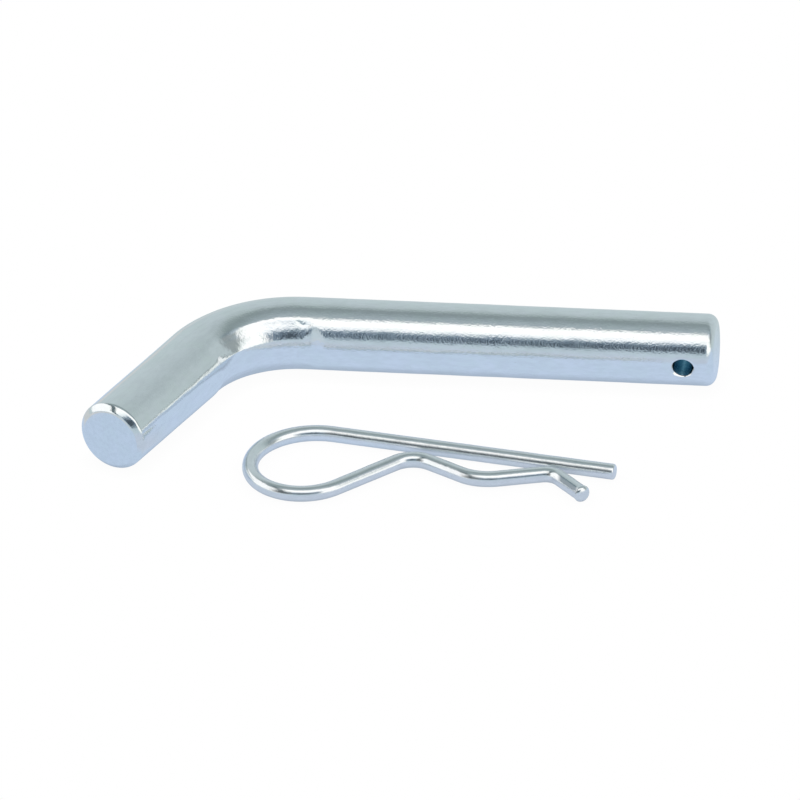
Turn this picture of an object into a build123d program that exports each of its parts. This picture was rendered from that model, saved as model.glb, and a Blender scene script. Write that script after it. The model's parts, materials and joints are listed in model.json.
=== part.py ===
from build123d import *
import math
import os

# Bent hitch pin and its R-clip, in millimetres. The origin is where the axis of the straight shank crosses
# the axis of the cross hole. +X runs along the shank to its free end, +Z is up, and both legs of the bent
# bar and the whole clip lie flat on one floor.

# Round bar of the hitch pin
bar_diameter = 15.875
free_end_rounding = 2.2
handle_end_chamfer = 1.3

# Bend: one turn between the shank and the handle leg, on a centreline radius of one and a half bars
bend_radius = 1.5 * bar_diameter
bend_turn = 66.9
shank_grip = 84.3
handle_leg = 37.7

# Cross hole for the clip, square to the shank. It is turned a little about the shank, with its front mouth low
hole_diameter = 4.4
hole_turn = 4.0
hole_to_end = 6.7
countersink_diameter = 5.4

# Imprint that the bending former leaves on the inner side of the bend
former_bite = 0.6
former_reach_angle = 42.0

# Spring wire of the R-clip
wire_diameter = 3.5
wire_end_chamfer = 0.45

# Clip centreline, starting at the tip of the straight leg
clip_tip_x = -10.6
clip_tip_y = -43.95
clip_heading = 170.0
straight_leg = 64.5
loop_radius_wide = 13.9
loop_turn_wide = 126.0
loop_radius_tight = 11.5
loop_turn_tight = 109.0
loop_to_waist = 16.4
waist_radius = 6.0
waist_turn = 76.5
waist_to_seat = 9.0
seat_radius = 10.0
seat_turn = 47.0
seat_to_nose = 9.9
nose_radius = 4.0
nose_turn = 63.5
tail = 9.5

# The clip springs open about a point in its loop, where the wire is split for the model
flex_clearance = 0.05

bar_radius = bar_diameter / 2
wire_radius = wire_diameter / 2
floor_z = -bar_radius
clip_z = floor_z + wire_radius


def round_stock(path, radius):
    """Round bar or wire of one radius along a centreline."""
    section = Plane(origin=path @ 0, z_dir=path % 0) * Circle(radius)
    return sweep(section, path=path)


def rim_at(body, centre):
    """The round rim that has its centre at a given point."""
    rims = body.edges().filter_by(GeomType.CIRCLE)
    return rims.sort_by(lambda edge: (edge.arc_center - centre).length)[0]


def bar_centreline():
    """Centreline of the bent bar: shank, bend and handle leg, from the free end."""
    bend_start = (-shank_grip, 0)
    shank = Line((hole_to_end, 0), bend_start)
    bend = JernArc(start=bend_start, tangent=(-1, 0), radius=bend_radius, arc_size=bend_turn)
    handle = PolarLine(start=bend @ 1, length=handle_leg, direction=bend % 1)
    return shank + bend + handle


def bar():
    """The bent bar, rounded at its free end and chamfered at the end of the handle."""
    path = bar_centreline()
    body = round_stock(path, bar_radius)
    body = fillet(rim_at(body, path @ 0), free_end_rounding)
    return chamfer(rim_at(body, path @ 1), handle_end_chamfer)


def bending_former():
    """The grooved wheel that the bar is bent round. It bites into the inner side of the bend."""
    reach = math.radians(former_reach_angle)
    groove_shift = former_bite / (1 - math.cos(reach))
    groove_radius = bar_radius + groove_shift - former_bite
    wheel_radius = bend_radius - bar_radius * math.cos(reach)
    wheel = Cylinder(wheel_radius, 2 * bar_radius * math.sin(reach))
    groove = Torus(bend_radius + groove_shift, groove_radius)
    return Pos(-shank_grip, -bend_radius, 0) * (wheel - groove)


def cross_drill():
    """The drill for the cross hole, with a countersink at both mouths."""
    drill = Cylinder(hole_diameter / 2, 4 * bar_radius)
    depth = (countersink_diameter - hole_diameter) / 2
    sink = Cone(hole_diameter / 2 - depth, countersink_diameter / 2 + depth, 3 * depth)
    for side in (1, -1):
        mouth = Pos(0, 0, side * (bar_radius - depth / 2))
        drill += mouth * (sink if side > 0 else Rot(180, 0, 0) * sink)
    return Rot(90 + hole_turn, 0, 0) * drill


def hitch_pin():
    """The bent, cross drilled bar."""
    return bar() - bending_former() - cross_drill()


def fixed_half_line():
    """Clip centreline from the tip of the straight leg to the flex point in the loop."""
    leg = PolarLine(start=(clip_tip_x, clip_tip_y), length=straight_leg, angle=clip_heading)
    wide = JernArc(start=leg @ 1, tangent=leg % 1, radius=loop_radius_wide, arc_size=loop_turn_wide)
    return leg + wide


def spring_half_line():
    """Clip centreline from the flex point, through waist, seat and nose, to the tip of the wavy leg."""
    loop = fixed_half_line()
    tight = JernArc(loop @ 1, loop % 1, loop_radius_tight, loop_turn_tight)
    to_waist = PolarLine(tight @ 1, loop_to_waist, direction=tight % 1)
    waist = JernArc(to_waist @ 1, to_waist % 1, waist_radius, -waist_turn)
    to_seat = PolarLine(waist @ 1, waist_to_seat, direction=waist % 1)
    seat = JernArc(to_seat @ 1, to_seat % 1, seat_radius, seat_turn)
    to_nose = PolarLine(seat @ 1, seat_to_nose, direction=seat % 1)
    nose = JernArc(to_nose @ 1, to_nose % 1, nose_radius, -nose_turn)
    tip = PolarLine(nose @ 1, tail, direction=nose % 1)
    return tight + to_waist + waist + to_seat + seat + to_nose + nose + tip


def flex_knuckle(radius):
    """Upright round knuckle at the flex point."""
    flex = fixed_half_line() @ 1
    return Pos(flex.X, flex.Y, 0) * Cylinder(radius, 2 * wire_diameter)


def r_clip_straight_leg():
    """Straight leg and the wide part of the loop, ending in a round knuckle."""
    path = fixed_half_line()
    nose = round_stock(spring_half_line(), wire_radius) & flex_knuckle(wire_radius)
    leg = round_stock(path, wire_radius)
    leg = chamfer(rim_at(leg, path @ 0), wire_end_chamfer)
    return Pos(0, 0, clip_z) * (leg + nose)


def r_clip_spring_leg():
    """Rest of the loop and the wavy leg, hollowed to clear the knuckle."""
    path = spring_half_line()
    leg = round_stock(path, wire_radius)
    leg = chamfer(rim_at(leg, path @ 1), wire_end_chamfer)
    return Pos(0, 0, clip_z) * (leg - flex_knuckle(wire_radius + flex_clearance))


os.makedirs("parts", exist_ok=True)
export_step(hitch_pin(), "parts/hitch_pin.step")
export_step(r_clip_straight_leg(), "parts/r_clip_straight_leg.step")
export_step(r_clip_spring_leg(), "parts/r_clip_spring_leg.step")
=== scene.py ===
import json
import math

import bpy
import numpy as np
from mathutils import Matrix, Vector


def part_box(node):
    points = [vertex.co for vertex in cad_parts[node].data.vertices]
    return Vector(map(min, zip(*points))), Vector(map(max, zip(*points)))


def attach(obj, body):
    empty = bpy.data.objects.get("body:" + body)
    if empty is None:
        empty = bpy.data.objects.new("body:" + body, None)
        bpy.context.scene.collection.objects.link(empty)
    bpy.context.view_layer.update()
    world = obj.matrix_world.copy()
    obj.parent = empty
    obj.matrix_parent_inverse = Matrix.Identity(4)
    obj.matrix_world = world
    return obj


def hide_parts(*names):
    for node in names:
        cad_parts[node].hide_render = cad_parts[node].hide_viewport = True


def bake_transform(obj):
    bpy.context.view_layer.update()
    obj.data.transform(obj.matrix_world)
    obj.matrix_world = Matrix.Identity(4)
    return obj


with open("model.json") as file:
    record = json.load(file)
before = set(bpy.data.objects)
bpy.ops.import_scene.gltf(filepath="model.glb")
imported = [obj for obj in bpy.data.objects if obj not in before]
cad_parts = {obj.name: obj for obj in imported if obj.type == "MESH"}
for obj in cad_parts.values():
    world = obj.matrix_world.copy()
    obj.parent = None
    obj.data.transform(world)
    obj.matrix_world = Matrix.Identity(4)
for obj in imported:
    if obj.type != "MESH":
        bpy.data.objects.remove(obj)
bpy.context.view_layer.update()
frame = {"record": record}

# A bent hitch pin with a cross hole, and the loose R-clip that keeps it in place, both in bright zinc plate
# on a pale floor. Each is swept along its own centreline, in millimetres, in the frame of the CAD.

MM = 0.001
mounts = {mount["name"]: mount for mount in frame["record"]["mounts"]}
hole_axis = mounts["clip_hole"]["axis"]

# The bar of the pin: its shank, its bend and its handle leg
BAR_R = mounts["shank"]["dims"]["r_mm"]
FREE_END_ROUNDING = 2.2
HOLE_TO_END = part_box("hitch_pin")[1][0] / MM
SHANK = mounts["shank"]["dims"]["length_mm"] + FREE_END_ROUNDING - HOLE_TO_END
BEND_R = 3 * BAR_R
BEND_TURN = math.radians(66.9)
HANDLE = 37.7
HANDLE_END_CHAMFER = 1.3
HANDLE_END_SOFTNESS = 1.0

# The cross hole, turned a little about the shank, and its countersink, which leans to one side
HOLE_R = mounts["clip_hole"]["dims"]["r_mm"]
HOLE_TURN = math.atan2(-hole_axis[2], -hole_axis[1])
SINK_R = 2.62
SINK_LEAN = 0.24
SINK_LEAN_ANGLE = math.radians(54.0)

# What the bending former presses into the inner side of the bend: a deep hollow where it first touches the
# bar, which fades into a shallow one along the bend, and a strip on each side of it. A bite is how deep the
# former goes in, a hollow is the radius of its groove, and a lead is how far before the bend it lifts off.
FORMER_BITE = 0.6
FORMER_HOLLOW = 9.67
FORMER_LEAD = 0.8
FORMER_FADE = 2.4
BEND_BITE = 0.2
BEND_HOLLOW = 8.7
STRIP_BITE = 0.26
STRIP_HOLLOW = 10.3
STRIP_LEAD = 0.3
STRIP_ANGLE = math.radians(37.0)
STRIP_EDGE = math.radians(42.0)
STRIP_LIP = math.radians(13.0)

# The wire of the clip. Its centreline runs from the tip of the straight leg to the tip of the wavy leg. The
# loop and the wavy leg are arcs, by their radius and turn in degrees, and lines, by their length.
WIRE_R = 1.75
TIP = (-10.6, -43.95)
HEADING = math.radians(170.0)
STRAIGHT_LEG = 64.5
TAIL = 9.5
CLIP_Z = -BAR_R + WIRE_R
LOOP = [("arc", 13.9, 126.0), ("arc", 11.5, 109.0), ("line", 16.4), ("arc", 6.0, -76.5),
        ("line", 9.0), ("arc", 10.0, 47.0), ("line", 9.9), ("arc", 4.0, -63.5), ("line", TAIL)]


# ---------------------------------------------------------------- shapes

class Path:
    """A flat path of lines and arcs. It gives the point and the heading at any distance along it."""

    def __init__(self, start, heading, steps):
        self.parts = []
        self.length = 0.0
        point = np.array(start, float)
        for step in steps:
            length = step[1]
            turn = 0.0
            if step[0] == "arc":
                turn = math.radians(step[2])
                length = step[1] * abs(turn)
            self.parts.append((self.length, length, point, heading, turn))
            point = point + self.travel(length, length, heading, turn)
            heading += turn
            self.length += length
        self.starts = np.array([part[0] for part in self.parts])

    @staticmethod
    def travel(distance, length, heading, turn):
        if turn == 0:
            return distance * np.array([math.cos(heading), math.sin(heading)])
        curve = turn / length
        ahead = heading + curve * distance
        return np.array([math.sin(ahead) - math.sin(heading), math.cos(heading) - math.cos(ahead)]) / curve

    def at(self, s):
        i = max(0, int(np.searchsorted(self.starts, s, side="right")) - 1)
        part_start, length, point, heading, turn = self.parts[i]
        along = s - part_start
        return point + self.travel(along, length, heading, turn), heading + turn * along / length


def rounded(points, radius, steps):
    """A polyline with its inner corners rounded."""
    points = [np.array(point, float) for point in points]
    made = [points[0]]
    for before, corner, after in zip(points, points[1:], points[2:]):
        a = (before - corner) / np.linalg.norm(before - corner)
        b = (after - corner) / np.linalg.norm(after - corner)
        half = math.acos(max(-1.0, min(1.0, float(a @ b)))) / 2
        cut = radius / math.tan(half)
        centre = corner + (a + b) / np.linalg.norm(a + b) * radius / math.sin(half)
        first = corner + a * cut - centre
        last = corner + b * cut - centre
        for k in range(steps + 1):
            spoke = first + (last - first) * k / steps
            made.append(centre + spoke / np.linalg.norm(spoke) * radius)
    return made + [points[-1]]


def eased(share):
    """A share from 0 to 1 with a soft start and a soft end."""
    return share * share * (3 - 2 * share)


def waves(s, phi, seed, around, longest, shortest, count):
    """A smooth random field over a bar's surface, about -1 to 1, that closes round the bar."""
    draw = np.random.default_rng(seed)
    total = 0.0
    for _ in range(count):
        turns = int(draw.integers(0, around + 1))
        reach = draw.uniform(shortest, longest) * draw.choice([-1, 1])
        total = total + np.cos(turns * phi + 2 * math.pi * s / reach + draw.uniform(0, 2 * math.pi))
    return total / math.sqrt(count)


def dents(s, phi, radius, marks):
    """The summed depth of smooth dents at points of a bar's surface. A mark holds its place along the bar,
    its angle round it in degrees, its reach along the bar and round it, and its depth."""
    total = 0.0
    for place, angle, length, width, depth in marks:
        turn = np.angle(np.exp(1j * (phi - math.radians(angle)))) * radius
        total = total + depth * np.exp(-((s - place) / length) ** 2 - (turn / width) ** 2)
    return total


def mesh_object(name, points, faces, coords, depths=None):
    """A smooth mesh with an outward skin. coords are the points' places on the straightened bar, and depths
    say how far each point lies inside a hole, from 0 to 1."""
    data = bpy.data.meshes.new(name)
    data.from_pydata([tuple(point) for point in np.asarray(points) * MM], [], faces)
    stock = data.attributes.new("stock", "FLOAT_VECTOR", "POINT")
    stock.data.foreach_set("vector", np.asarray(coords, np.float32).ravel())
    deep = data.attributes.new("deep", "FLOAT", "POINT")
    deep.data.foreach_set("value", np.zeros(len(points), np.float32) if depths is None else depths)
    data.validate()
    obj = bpy.data.objects.new(name, data)
    bpy.context.scene.collection.objects.link(obj)
    data.polygons.foreach_set("use_smooth", [True] * len(data.polygons))
    data.set_sharp_from_angle(angle=math.radians(50))
    data.update()
    return obj


def skin(path, rings, around, z, shape, first_angle=0.0, left_out=lambda i, j: False):
    """Sweeps rings along a path. rings holds (distance, radius), and a radius of 0 is a pole. shape(distance,
    angles, radius) gives the radius at each angle. Returns the points, the faces, the points' places on the
    straightened bar and the grid of point numbers."""
    points = []
    coords = []
    faces = []
    grid = []
    angles = first_angle + np.arange(around) * 2 * math.pi / around
    for s, ring_radius in rings:
        centre, heading = path.at(s)
        side = np.array([-math.sin(heading), math.cos(heading)])
        radii = [0.0] if ring_radius == 0 else shape(s, angles, ring_radius)
        row = []
        for phi, radius in zip(angles, radii):
            outward = radius * math.cos(phi)
            height = radius * math.sin(phi)
            row.append(len(points))
            points.append((*(centre + outward * side), max(z + height, -BAR_R)))
            coords.append((s, outward, height))
        grid.append(row)
    for i, (one, two) in enumerate(zip(grid, grid[1:])):
        for j in range(around):
            k = (j + 1) % around
            if len(one) == 1:
                faces.append((one[0], two[k], two[j]))
            elif len(two) == 1:
                faces.append((one[k], two[0], one[j]))
            elif not left_out(i, j):
                faces.append((one[k], two[k], two[j], one[j]))
    return points, faces, coords, grid


# ---------------------------------------------------------------- the bent pin

# Places along the bar are counted from its free end
BEND_FROM = HOLE_TO_END + SHANK
BEND_TO = BEND_FROM + BEND_R * BEND_TURN
bar_path = Path((HOLE_TO_END, 0), math.pi,
                [("line", BEND_FROM), ("arc", BEND_R, math.degrees(BEND_TURN)), ("line", HANDLE)])

# Points round the bar, and the half size of the window that each mouth of the hole takes out of its grid:
# along the bar, in millimetres, and round it, in points
BAR_AROUND = 192
WINDOW_ALONG = 4.0
WINDOW_AROUND = 16

# Marks of handling on the shank, the bend and the handle leg
BAR_MARKS = [(76.4, 70.0, 0.5, 0.8, 0.03), (77.9, 28.0, 1.4, 0.5, 0.03), (71.4, 33.0, 1.2, 0.4, 0.02),
             (60.4, 45.0, 0.6, 0.4, 0.02), (97.4, 50.0, 0.9, 0.7, 0.05), (131.4, 118.0, 2.5, 0.35, 0.02)]

# The slanting nick where the former first bites, as a row of small dents
BAR_MARKS += [(92.4 - 0.6 * k, 50.0 - 2.4 * k, 0.45, 0.28, 0.045 + 0.008 * k) for k in range(4)]


def pressed_radius(phi, angle, hollow, bite):
    """Distance from the bar's axis to a hollow tool surface of a given radius, pressed in at one angle."""
    shift = hollow - BAR_R + max(bite, -0.5)
    turn = phi - angle
    inside = hollow ** 2 - (shift * np.sin(turn)) ** 2
    surface = np.sqrt(np.maximum(inside, 0)) - shift * np.cos(turn)
    return np.where(np.cos(turn) > 0.2, surface, BAR_R + 1.0)


def former_lift(s, lead):
    """How far the round former has lifted off the bar, at a distance along it."""
    before = max(BEND_FROM - s - lead, 0.0)
    after = max(s - BEND_TO, 0.0)
    return (before ** 2 + after ** 2) / (2 * (BEND_R - BAR_R))


def former_radius(s, phi):
    """The surface that the bending former leaves."""
    first_touch = eased(min(max(BEND_FROM - s, 0.0) / FORMER_FADE, 1.0))
    hollow = BEND_HOLLOW + (FORMER_HOLLOW - BEND_HOLLOW) * first_touch
    bite = BEND_BITE + (FORMER_BITE - BEND_BITE) * first_touch
    surface = pressed_radius(phi, 0.0, hollow, bite - former_lift(s, FORMER_LEAD))
    off_inner_side = np.abs(np.angle(np.exp(1j * phi)))
    lip = np.clip((off_inner_side - STRIP_EDGE) / STRIP_LIP, 0, 1) ** 2
    for angle in (-STRIP_ANGLE, STRIP_ANGLE):
        strip = pressed_radius(phi, angle, STRIP_HOLLOW, STRIP_BITE - former_lift(s, STRIP_LEAD))
        surface = np.minimum(surface, strip + lip * np.maximum(BAR_R + 0.05 - strip, 0))
    return surface


def bar_shape(s, phi, ring_radius):
    """The bar's radius at each angle: nearly round, pressed by the former, scuffed there, and marked."""
    body = BAR_R + 0.012 * waves(s, phi, 11, 5, 34.0, 9.0, 14)
    body = body + 0.004 * waves(s, phi, 12, 14, 9.0, 2.5, 20)
    pressed = former_radius(s, phi)
    scuffed = np.clip((BAR_R - pressed) / 0.15, 0, 1)
    softness = 0.04
    body = -softness * np.logaddexp(-body / softness, -pressed / softness)
    body = body + scuffed * 0.006 * waves(s, phi, 13, 30, 3.5, 1.1, 30)
    body = body - dents(s, phi, BAR_R, BAR_MARKS)
    return body * ring_radius / BAR_R


def handle_end():
    """Rings of the handle's end, from the middle of its face to the full bar, as (distance, radius)."""
    full_from = 1.9
    corners = [(0, 0), (0, BAR_R - HANDLE_END_CHAMFER), (HANDLE_END_CHAMFER, BAR_R), (full_from, BAR_R)]
    profile = rounded(corners, HANDLE_END_SOFTNESS, 5)
    rings = []
    for a, b in zip(profile, profile[1:]):
        pieces = max(1, int(np.linalg.norm(b - a) / 0.7))
        rings += [tuple(a + (b - a) * k / pieces) for k in range(pieces)]
    return rings + [(full_from, BAR_R)]


def free_end():
    """Rings of the free end, from the middle of its face to the full bar."""
    flat = BAR_R - FREE_END_ROUNDING
    rings = [(0, flat * k / 6) for k in range(6)]
    for turn in np.linspace(0, math.pi / 2, 13):
        inward = FREE_END_ROUNDING * (1 - math.cos(turn))
        rings.append((inward, flat + FREE_END_ROUNDING * math.sin(turn)))
    return rings


def bar_rings():
    """Rings of the whole bar, closest beside the hole and along the former's imprint."""
    free = free_end()
    handle = handle_end()
    spaced = [(HOLE_TO_END - WINDOW_ALONG, 0.17), (HOLE_TO_END + WINDOW_ALONG, 0.5),
              (BEND_FROM - 13.0, 0.55), (BEND_TO + 3.2, 0.38), (bar_path.length - handle[-1][0], 0.6)]
    body = []
    start = free[-1][0]
    for stop, step in spaced:
        count = max(1, int(round((stop - start) / step)))
        body += list(np.linspace(start, stop, count, endpoint=False))
        start = stop
    return free + [(s, BAR_R) for s in body[1:]] + [(bar_path.length - s, r) for s, r in reversed(handle)]


def rim_radius(psi):
    """How far from the hole's axis its countersink meets the bar, at one angle round the hole."""
    sink = SINK_R + SINK_LEAN * max(0.0, math.cos(psi + SINK_LEAN_ANGLE)) ** 2
    rho = sink
    for _ in range(12):
        rho = sink - BAR_R + math.sqrt(BAR_R ** 2 - (rho * math.sin(psi)) ** 2)
    return rho


def join(faces, outer, inner):
    """Faces between two closed rows of points."""
    for k in range(len(outer)):
        m = (k + 1) % len(outer)
        faces.append((outer[k], inner[k], inner[m], outer[m]))


def window_edge(first, last, low, high):
    """The places in the bar's grid round one window, as one closed row."""
    edge = [(i, low) for i in range(first, last)] + [(last, j) for j in range(low, high)]
    return edge + [(i, high) for i in range(last, first, -1)] + [(first, j) for j in range(high, low, -1)]


def make_mouth(grid, places, window, middle, points, faces, coords):
    """Fills one window of the bar's skin with a rim, a countersink and half of the cross hole. The new points
    stand as if the hole were level. middle is the middle of the window round the bar: 0 in front, and half
    of BAR_AROUND at the back. Returns the innermost row."""
    facing = -1 if middle == 0 else 1
    edge = window_edge(*window, middle - WINDOW_AROUND, middle + WINDOW_AROUND)
    step = 2 * math.pi / BAR_AROUND
    flat = np.array([(places[i] - HOLE_TO_END, (j - middle) * step * BAR_R) for i, j in edge])
    psis = np.arctan2(flat[:, 1], flat[:, 0])
    rhos = np.array([rim_radius(psi) for psi in psis])
    rim = np.stack([rhos * np.cos(psis), BAR_R * np.arcsin(rhos * np.sin(psis) / BAR_R)], axis=1)
    previous = [grid[i][j % BAR_AROUND] for i, j in edge]
    for share in (0.2, 0.4, 0.6, 0.75, 0.86, 0.93, 0.97, 1.0):
        sag = 0.05 * max(0.0, (share - 0.7) / 0.3) ** 3
        row = []
        for x, arc in flat * (1 - share) + rim * share:
            turn = arc / BAR_R
            phi = turn + middle * step - HOLE_TURN
            r = float(bar_shape(HOLE_TO_END + x, np.array([phi]), BAR_R)[0]) - sag
            row.append(len(points))
            points.append((-x, facing * r * math.cos(turn), -facing * r * math.sin(turn)))
            coords.append((HOLE_TO_END + x, r * math.cos(phi), r * math.sin(phi)))
        join(faces, previous, row)
        previous = row
    rims = [points[v] for v in previous]
    wall = [(-HOLE_R * math.cos(psi), -facing * HOLE_R * math.sin(psi)) for psi in psis]
    rings = []
    for share, deeper in ((0.12, 0.0), (0.88, 0.0), (1.0, 0.02), (1.0, 0.15)):
        ring = []
        for (rim_x, rim_y, rim_z), rho, (x, z) in zip(rims, rhos, wall):
            sunk = share * (rho - HOLE_R) + deeper
            ring.append((rim_x + share * (x - rim_x), rim_y - facing * sunk, rim_z + share * (z - rim_z)))
        rings.append(ring)
    for depth in (1.6, 2.5, 3.4, 5.6):
        rings.append([(x, facing * (BAR_R - depth), z) for x, z in wall])
    for ring in rings:
        row = list(range(len(points), len(points) + len(ring)))
        points += ring
        coords += [(HOLE_TO_END - x, -y, z) for x, y, z in ring]
        join(faces, previous, row)
        previous = row
    return previous


def make_bar():
    """The whole bar with its cross hole. The hole's points are turned about the shank at the end."""
    rings = bar_rings()
    places = [s for s, _ in rings]
    sides = (HOLE_TO_END - WINDOW_ALONG, HOLE_TO_END + WINDOW_ALONG)
    window = [int(np.argmin([abs(s - side) for s in places])) for side in sides]

    def in_window(i, j):
        front = j < WINDOW_AROUND or j >= BAR_AROUND - WINDOW_AROUND
        back = abs(j + 0.5 - BAR_AROUND / 2) < WINDOW_AROUND
        return window[0] <= i < window[1] and (front or back)

    points, faces, coords, grid = skin(bar_path, rings, BAR_AROUND, 0.0, bar_shape, -HOLE_TURN, in_window)
    hole_from = len(points)
    front, back = [make_mouth(grid, places, window, middle, points, faces, coords)
                   for middle in (0, BAR_AROUND // 2)]
    match = {(round(points[v][0], 4), round(points[v][2], 4)): v for v in back}
    join(faces, front, [match[(round(points[v][0], 4), round(points[v][2], 4))] for v in front])
    # How far each point of the hole lies inside it, which sets the painted shade in the hole
    depths = np.zeros(len(points), np.float32)
    dark_from = 0.8
    dark_over = 1.8
    cos_turn = math.cos(HOLE_TURN)
    sin_turn = math.sin(HOLE_TURN)
    for v, (x, y, z) in enumerate(points[hole_from:], hole_from):
        if math.hypot(x, z) < HOLE_R + 0.03:
            depths[v] = min(1.0, max(0.0, (BAR_R - dark_from - abs(y)) / dark_over))
        points[v] = (x, y * cos_turn - z * sin_turn, y * sin_turn + z * cos_turn)
    return mesh_object("hitch_pin_bar", points, faces, coords, depths)


# ---------------------------------------------------------------- the clip

clip_path = Path(TIP, HEADING, [("line", STRAIGHT_LEG)] + LOOP)
WIRE_AROUND = 44

# Tool marks on the wire
WIRE_MARKS = [(120.6, 200.0, 0.8, 0.8, 0.07), (131.0, 20.0, 1.0, 0.6, 0.05),
              (147.0, 160.0, 0.25, 2.0, 0.05)]


def wire_shape(s, phi, ring_radius):
    """The wire's radius at each angle: nearly round, with its tool marks."""
    body = WIRE_R + 0.008 * waves(s, phi, 21, 3, 20.0, 5.0, 12)
    body = body + 0.003 * waves(s, phi, 22, 6, 4.0, 1.2, 12)
    return (body - dents(s, phi, WIRE_R, WIRE_MARKS)) * ring_radius / WIRE_R


def wire_rings(a, b, step):
    """Rings of the full wire from one place along it to another."""
    return [(s, WIRE_R) for s in np.linspace(a, b, int(round((b - a) / step)) + 1)]


def flat_end(s):
    """Rings of a plain round face, from its middle to its rim."""
    return [(s, 0), (s, WIRE_R * 0.5), (s, WIRE_R * 0.96), (s, WIRE_R)]


def make_wire(name, rings):
    points, faces, coords, _ = skin(clip_path, rings, WIRE_AROUND, CLIP_Z, wire_shape)
    return mesh_object(name, points, faces, coords)


def make_clip():
    """The straight leg with its rounded tip, and the loop and wavy leg with their sheared, upset tip."""
    seam = STRAIGHT_LEG
    tip = rounded([(0, 0), (0, WIRE_R), (1.4, WIRE_R)], 0.6, 7)
    tip = [tuple(tip[0]), (0, 0.6)] + [tuple(point) for point in tip[1:]]
    leg = tip + wire_rings(1.6, seam - 0.03, 0.5) + flat_end(seam)[::-1]
    end = clip_path.length
    sheared = [(0, 0), (0.05, 0.5), (0.17, 1.0), (0.34, 1.4), (0.55, 1.7), (0.78, 1.85), (1.0, 1.9),
               (1.25, 1.87), (1.5, 1.8), (1.8, WIRE_R)]
    loop = flat_end(seam) + wire_rings(seam + 0.03, end - 2.1, 0.42)
    loop += [(end - inward, radius) for inward, radius in reversed(sheared)]
    return make_wire("r_clip_leg", leg), make_wire("r_clip_loop", loop)


# ---------------------------------------------------------------- materials

class Graph:
    """Short names for making shader nodes."""

    def __init__(self, tree):
        self.tree = tree
        tree.nodes.clear()

    def node(self, kind, inputs=None, **settings):
        made = self.tree.nodes.new(kind)
        for key, value in settings.items():
            setattr(made, key, value)
        for key, value in (inputs or {}).items():
            self.put(made.inputs[key], value)
        return made

    def put(self, socket, value):
        if isinstance(value, bpy.types.NodeSocket):
            self.tree.links.new(value, socket)
        elif isinstance(value, (tuple, list)) and len(value) == 3 and socket.type == "RGBA":
            socket.default_value = (*value, 1.0)
        else:
            socket.default_value = value

    def math(self, operation, a, b=0.0):
        return self.node("ShaderNodeMath", {0: a, 1: b}, operation=operation).outputs[0]

    def times(self, first, *others):
        for other in others:
            first = self.math("MULTIPLY", first, other)
        return first

    def mix(self, share, a, b):
        made = self.node("ShaderNodeMix", data_type="RGBA")
        self.put(made.inputs[0], share)
        self.put(made.inputs[6], a)
        self.put(made.inputs[7], b)
        return made.outputs[2]

    def range(self, value, lo, hi, to_lo=0.0, to_hi=1.0, smooth=True):
        kind = "SMOOTHSTEP" if smooth else "LINEAR"
        return self.node("ShaderNodeMapRange", {0: value, 1: lo, 2: hi, 3: to_lo, 4: to_hi},
                         interpolation_type=kind).outputs[0]

    def band(self, value, rise, fall):
        """1 between two limits, each of which is a soft step over its own two values."""
        return self.times(self.range(value, *rise), self.range(value, *fall, 1.0, 0.0))

    def noise(self, place, scale, detail=3.0, stretch=(1, 1, 1)):
        spot = self.node("ShaderNodeMapping", {0: place, 3: stretch}).outputs[0]
        return self.node("ShaderNodeTexNoise", {"Vector": spot, "Scale": scale, "Detail": detail}).outputs[0]

    def attribute(self, name, output):
        return self.node("ShaderNodeAttribute", attribute_name=name).outputs[output]

    def axes(self, vector):
        return self.node("ShaderNodeSeparateXYZ", {0: vector}).outputs


def new_material(name):
    made = bpy.data.materials.new(name)
    made.use_nodes = True
    return made, Graph(made.node_tree)


def zinc(name, base, tint, rough, grain, streak, calm_from):
    """Bright zinc plate: a base colour with blotches of a tint, grey specks, a sandy grain that is weaker
    from calm_from on, and streaks along the bar. Places are in millimetres on the straightened bar."""
    made, g = new_material(name)
    place = g.attribute("stock", "Vector")
    along = g.axes(place)[0]
    blotch = g.noise(place, 0.22, 4.0)
    fine = g.noise(place, 1.1, 3.0, (0.35, 1, 1))
    colour = g.mix(g.range(blotch, 0.4, 0.62), base, tint)
    colour = g.mix(g.range(fine, 0.35, 0.7, 0.0, 0.5), colour, tuple(0.9 * c for c in base))
    speck = g.range(g.noise(place, 2.6, 2.0), 0.7, 0.78, 0.0, 0.35)
    colour = g.mix(speck, colour, (0.42, 0.42, 0.40))

    # The grain, the streaks and the swell are sunk into the plate, so the bump is inverted
    sand = g.noise(place, 2.4, 2.0)
    lines = g.noise(place, 3.0, 3.0, (0.04, 1, 1))
    swell = g.noise(place, 0.45, 2.0, (0.5, 1, 1))
    roughness = g.range(g.noise(place, 0.8, 4.0, (0.4, 1, 1)), 0.3, 0.7, rough * 0.8, rough * 1.3, False)
    grain = g.range(along, calm_from, calm_from + 12.0, grain, 0.35 * grain)
    depth = g.math("ADD", g.times(sand, grain), g.times(lines, streak))
    depth = g.math("ADD", depth, g.times(swell, 0.012))
    bump = g.node("ShaderNodeBump", {"Strength": 1.0, "Distance": MM, "Height": depth}, invert=True)

    # Inside the hole the plate's colour gives way, with depth, to painted shade in dark blue, with a painted
    # highlight that is paler in the middle of its wall
    off_middle = g.math("ABSOLUTE", g.math("SUBTRACT", along, HOLE_TO_END + 0.1))
    inside = g.mix(g.range(off_middle, 0.1, 1.5), (0.30, 0.48, 0.56), (0.11, 0.28, 0.38))
    colour = g.mix(g.attribute("deep", "Fac"), colour, inside)
    shader = g.node("ShaderNodeBsdfPrincipled", {"Base Color": colour, "Metallic": 1.0,
                                                 "Roughness": roughness, "Normal": bump.outputs[0]})
    g.node("ShaderNodeOutputMaterial", {0: shader.outputs[0]})
    return made


# ---------------------------------------------------------------- the studio

def linear(r, g, b):
    """A display colour as scene light. 255 is white, and more is brighter than white."""
    return tuple(c / 255 / 12.92 if c <= 10 else ((c / 255 + 0.055) / 1.055) ** 2.4 for c in (r, g, b))


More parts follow.
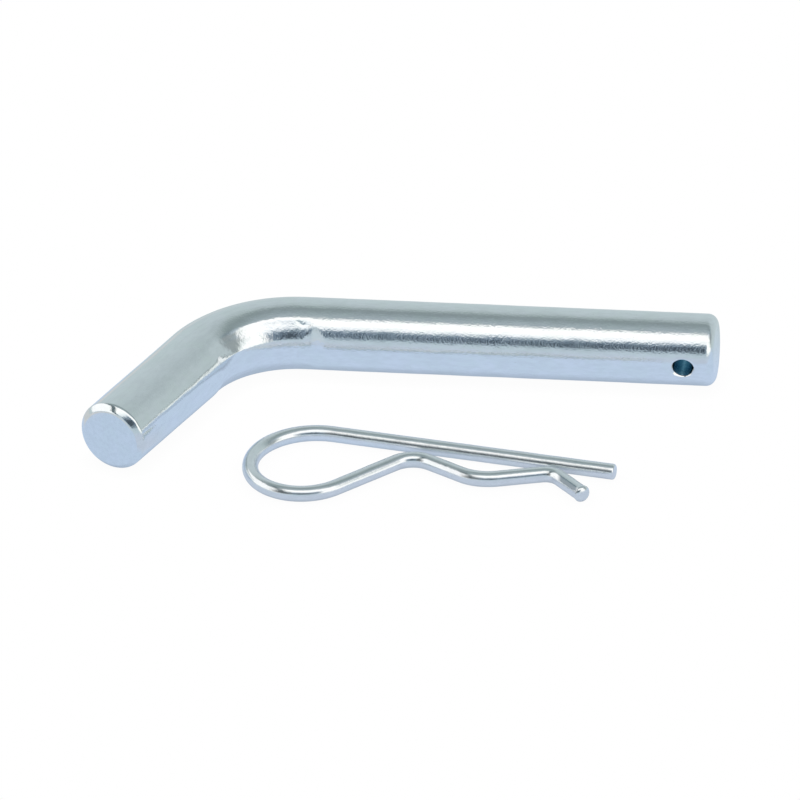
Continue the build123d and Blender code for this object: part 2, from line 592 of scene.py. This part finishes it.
def lit(colour, base=(0.86, 0.885, 0.90)):
    """The light that the zinc shows as this display colour."""
    return tuple(c / b for c, b in zip(linear(*colour), base))


# What the zinc shows in each direction over the top of the shank, from the front horizon at 0 degrees to the
# back horizon at 180: (degrees, display colour). BOX is a light box up in front, and BEHIND is the room past
# it. FRONT is straight ahead, and the others lie to the sides.
BOX = [(45, (230, 240, 246)), (50, (246, 251, 254)), (57, (262, 264, 264)), (77, (262, 264, 264)),
       (80.5, (160, 173, 180))]
BEHIND = [(92, (155, 169, 176)), (97, (147, 162, 167)), (104, (140, 154, 159)), (112, (131, 145, 149)),
          (118, (134, 148, 151)), (124, (152, 166, 169)), (130, (167, 181, 185)), (137, (176, 190, 195)),
          (147, (181, 195, 200)), (165, (183, 198, 203)), (270, (184, 199, 204))]
FRONT = [(-90, (182, 200, 221)), (-4, (178, 195, 210)), (4, (183, 200, 212)), (12, (181, 198, 209)),
         (17, (140, 157, 170)), (22, (112, 129, 144)), (30, (108, 125, 141)), (37, (118, 136, 152)),
         (41.8, (138, 155, 169))] + BOX + BEHIND
RIGHT = [(-90, (190, 203, 223)), (-4, (186, 202, 214)), (8, (196, 210, 216)), (14, (244, 250, 252)),
         (20, (262, 264, 264)), (84, (262, 264, 264)), (88, (180, 192, 200)), (97, (166, 180, 190)),
         (104, (148, 162, 170)), (109, (126, 140, 147)), (118, (126, 141, 147)), (126, (160, 175, 179)),
         (137, (178, 192, 196)), (270, (184, 199, 204))]
FAR_RIGHT = [(-90, (192, 204, 224)), (0, (200, 214, 224)), (12, (244, 252, 254)), (18, (262, 264, 264)),
             (45, (262, 264, 264)), (60, (236, 244, 244)), (74, (222, 232, 232)), (80, (150, 160, 162)),
             (126, (146, 156, 160)), (140, (178, 192, 196)), (270, (184, 199, 204))]
LEFT = [(-90, (190, 202, 216)), (0, (188, 203, 214)), (30, (190, 204, 212)),
        (44, (196, 210, 218))] + BOX + BEHIND


def studio_world():
    """A plain white room. The zinc alone sees its light boxes and dark gaps."""
    world = bpy.data.worlds.new("studio")
    bpy.context.scene.world = world
    world.use_nodes = True
    world.cycles.sampling_method = "NONE"
    g = Graph(world.node_tree)
    x, y, z = g.axes(g.node("ShaderNodeTexCoord").outputs["Generated"])
    over = g.times(g.math("ARCTAN2", z, g.times(y, -1.0)), 180 / math.pi)
    over = g.math("ADD", over, g.times(g.math("LESS_THAN", over, -90.0), 360.0))
    rise = g.times(g.math("ARCSINE", z), 180 / math.pi)

    def ramp(stops):
        made = g.node("ShaderNodeValToRGB", {0: g.range(over, -90.0, 270.0, smooth=False)})
        elements = made.color_ramp.elements
        while len(elements) < len(stops):
            elements.new(0.5)
        for element, (degrees, colour) in zip(elements, stops):
            element.position = (degrees + 90) / 360
            element.color = (*lit(colour), 1.0)
        return made.outputs[0]

    colour = g.mix(g.range(x, -0.28, -0.20), ramp(LEFT), ramp(FRONT))
    colour = g.mix(g.range(x, 0.56, 0.64), colour, ramp(RIGHT))
    colour = g.mix(g.range(x, 0.80, 0.88), colour, ramp(FAR_RIGHT))
    left_box = g.times(g.range(x, -0.65, -0.59, 1.0, 0.0), g.band(rise, (6, 10), (48, 52)))
    colour = g.mix(left_box, colour, (1.15, 1.15, 1.15))
    gap = g.times(g.band(x, (-0.62, -0.56), (-0.435, -0.375)), g.band(over, (24, 36), (94, 106)))
    colour = g.mix(gap, colour, lit((96, 110, 116)))
    rays = g.node("ShaderNodeLightPath").outputs
    seen = g.mix(rays["Is Glossy Ray"], (1.0, 1.0, 1.0), colour)
    g.node("ShaderNodeOutputWorld", {0: g.node("ShaderNodeBackground", {0: seen, 1: 1.0}).outputs[0]})


def sheet(name, corners, material):
    data = bpy.data.meshes.new(name)
    data.from_pydata(corners, [], [(0, 1, 2, 3)])
    data.materials.append(material)
    made = bpy.data.objects.new(name, data)
    bpy.context.scene.collection.objects.link(made)
    return made


def studio_floor():
    """A white floor with a faint contact shadow. In the zinc it shows pale blue in front of the pin, and
    greyer to the left, round the clip and behind the pin."""
    made, g = new_material("studio_floor")
    rays = g.node("ShaderNodeLightPath").outputs
    near = g.node("ShaderNodeAmbientOcclusion", {"Distance": 0.004}, samples=16).outputs["AO"]
    direct = g.mix(g.range(near, 0.2, 1.0, 0.975, 1.0, False), (0.0, 0.0, 0.0), (1.0, 1.0, 1.0))
    x, y, _ = g.axes(g.node("ShaderNodeNewGeometry").outputs["Position"])
    mirrored = g.mix(g.range(y, -0.35, -0.08), lit((180, 197, 211)), lit((182, 201, 224)))
    mirrored = g.mix(g.range(x, -0.12, -0.08), mirrored, lit((186, 204, 227)))
    round_clip = g.times(g.range(y, -0.045, -0.032, 1.0, 0.0), g.range(x, -0.112, -0.108))
    mirrored = g.mix(round_clip, mirrored, lit((185, 198, 215)))
    mirrored = g.mix(g.range(y, 0.0, 0.03), mirrored, lit((184, 199, 204)))
    mirrored = g.mix(g.range(x, -0.14, -0.16), mirrored, lit((198, 203, 206)))
    # In the zinc, the floor near the parts is darkened by a painted contact shadow
    mirrored = g.mix(g.range(near, 0.1, 0.7, 0.68, 1.0, False), (0.0, 0.0, 0.0), mirrored)
    colour = g.mix(rays["Is Glossy Ray"], direct, mirrored)
    g.node("ShaderNodeOutputMaterial", {0: g.node("ShaderNodeEmission", {0: colour, 1: 1.0}).outputs[0]})
    size = 3.0
    low = -BAR_R * MM - 0.00002
    corners = [(-size, -size, low), (size, -size, low), (size, size, low), (-size, size, low)]
    sheet("studio_floor", corners, made)


def veil(name, corners, make_dark, shade=(0.0, 0.0, 0.0)):
    """A thin sheet that only shows in the zinc. make_dark(graph, place, back, start) gives how much it hides
    from a ray, by where the ray meets it, the way back along the ray and the ray's starting point."""
    made, g = new_material(name)
    made.cycles.emission_sampling = "NONE"
    geometry = g.node("ShaderNodeNewGeometry").outputs
    length = g.node("ShaderNodeLightPath").outputs["Ray Length"]
    place = g.axes(geometry["Position"])
    back = g.axes(geometry["Incoming"])
    start = [g.math("ADD", place[k], g.times(back[k], length)) for k in range(3)]
    dark = make_dark(g, place, back, start)
    solid = g.node("ShaderNodeEmission", {0: shade, 1: 1.0}).outputs[0]
    clear = g.node("ShaderNodeBsdfTransparent").outputs[0]
    mixed = g.node("ShaderNodeMixShader", {0: dark, 1: clear, 2: solid}).outputs[0]
    g.node("ShaderNodeOutputMaterial", {0: mixed})
    card = sheet(name, corners, made)
    card.visible_camera = False
    card.visible_diffuse = False
    card.visible_shadow = False


def front_dark(g, place, back, start):
    """Darkens the low view to the front right, and from the clip also the view to the front left."""
    along = g.band(place[0], (-0.185, -0.145), (0.25, 0.32))
    up = g.band(place[2], (0.28, 0.40), (0.62, 0.80))
    right = g.times(along, up, 0.6)
    clip = g.times(g.math("LESS_THAN", start[1], -0.02), g.math("GREATER_THAN", start[0], -0.105))
    over = g.times(g.math("ARCTAN2", g.times(back[2], -1.0), back[1]), 180 / math.pi)
    low = g.times(g.band(over, (12.0, 20.0), (40.0, 46.0)), 0.74)
    high = g.times(g.band(over, (40.0, 46.0), (76.0, 84.0)), 0.22)
    left = g.times(g.band(back[0], (0.20, 0.28), (0.72, 0.80)), clip, g.math("ADD", low, high))
    return g.math("MAXIMUM", right, left)


def tail_dark(g, place, back, start):
    """Darkens the whole view to the left, as seen from the middle of the clip's tail."""
    first, last = [clip_path.at(clip_path.length - d)[0][0] * MM for d in (TAIL - 0.3, 2.4)]
    soft = 0.0006
    tail = g.band(start[0], (first - soft, first + soft), (last - soft, last + soft))
    return g.times(tail, g.math("LESS_THAN", start[1], -0.048), 0.74)


def studio_cards():
    """One card stands in front of the pieces, and one on their left."""
    front = [(-3.0, -1.0, 0.0), (1.0, -1.0, 0.0), (1.0, -1.0, 1.6), (-3.0, -1.0, 1.6)]
    veil("studio_front_card", front, front_dark)
    left = [(-1.0, -1.0, 0.0), (-1.0, 1.0, 0.0), (-1.0, 1.0, 1.4), (-1.0, -1.0, 1.4)]
    veil("studio_left_card", left, tail_dark, (0.05, 0.12, 0.17))


def studio_lamp():
    lamp = bpy.data.lights.new("studio_lamp", "AREA")
    lamp.shape = "RECTANGLE"
    lamp.size = 0.9
    lamp.size_y = 0.6
    lamp.energy = 4.0
    obj = bpy.data.objects.new("studio_lamp", lamp)
    bpy.context.scene.collection.objects.link(obj)
    obj.location = (-0.2, -0.5, 0.9)
    obj.rotation_mode = "QUATERNION"
    obj.rotation_quaternion = (-obj.location).to_track_quat("-Z", "Y")
    obj.visible_glossy = False
    obj.visible_camera = False


def camera():
    """The camera stands far off with a long lens, so the view is nearly parallel."""
    turn = math.radians(8.08)
    rise = math.radians(30.1)
    roll = math.radians(1.67)
    distance = 6.0
    width_seen = 0.17486
    aim = Vector((-59.85, -27.36, 0.0)) * MM
    back = Vector((math.sin(turn) * math.cos(rise), -math.cos(turn) * math.cos(rise), math.sin(rise)))
    level = Vector((math.cos(turn), math.sin(turn), 0.0))
    upright = back.cross(level)
    right = level * math.cos(roll) - upright * math.sin(roll)
    up = level * math.sin(roll) + upright * math.cos(roll)
    place = aim + back * distance
    data = bpy.data.cameras.new("camera")
    data.sensor_width = 36.0
    data.lens = data.sensor_width * distance / width_seen
    data.clip_start = 0.1
    data.clip_end = 100.0
    obj = bpy.data.objects.new("camera", data)
    bpy.context.scene.collection.objects.link(obj)
    obj.matrix_world = Matrix([(right[k], up[k], back[k], place[k]) for k in range(3)] + [(0, 0, 0, 1)])
    bpy.context.scene.camera = obj


# ---------------------------------------------------------------- putting it together

def blend_loop(loop):
    """Bakes the loop's placing into its mesh."""
    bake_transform(loop)


bar = make_bar()
leg, loop = make_clip()
bar_zinc = zinc("zinc_plated_bar", base=(0.86, 0.885, 0.90), tint=(0.84, 0.88, 0.875), rough=0.09,
                grain=0.036, streak=0.008, calm_from=BEND_FROM + 13.4)
wire_zinc = zinc("zinc_plated_wire", base=(0.87, 0.89, 0.905), tint=(0.85, 0.885, 0.89), rough=0.18,
                 grain=0.012, streak=0.006, calm_from=clip_path.length)
bar.data.materials.append(bar_zinc)
leg.data.materials.append(wire_zinc)
loop.data.materials.append(wire_zinc)

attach(bar, "hitch_pin")
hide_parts("hitch_pin")
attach(leg, "r_clip")
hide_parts("r_clip_straight_leg")
blend_loop(loop)
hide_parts("r_clip_spring_leg")

studio_world()
studio_floor()
studio_cards()
studio_lamp()
camera()
bpy.context.scene.view_settings.view_transform = "Standard"
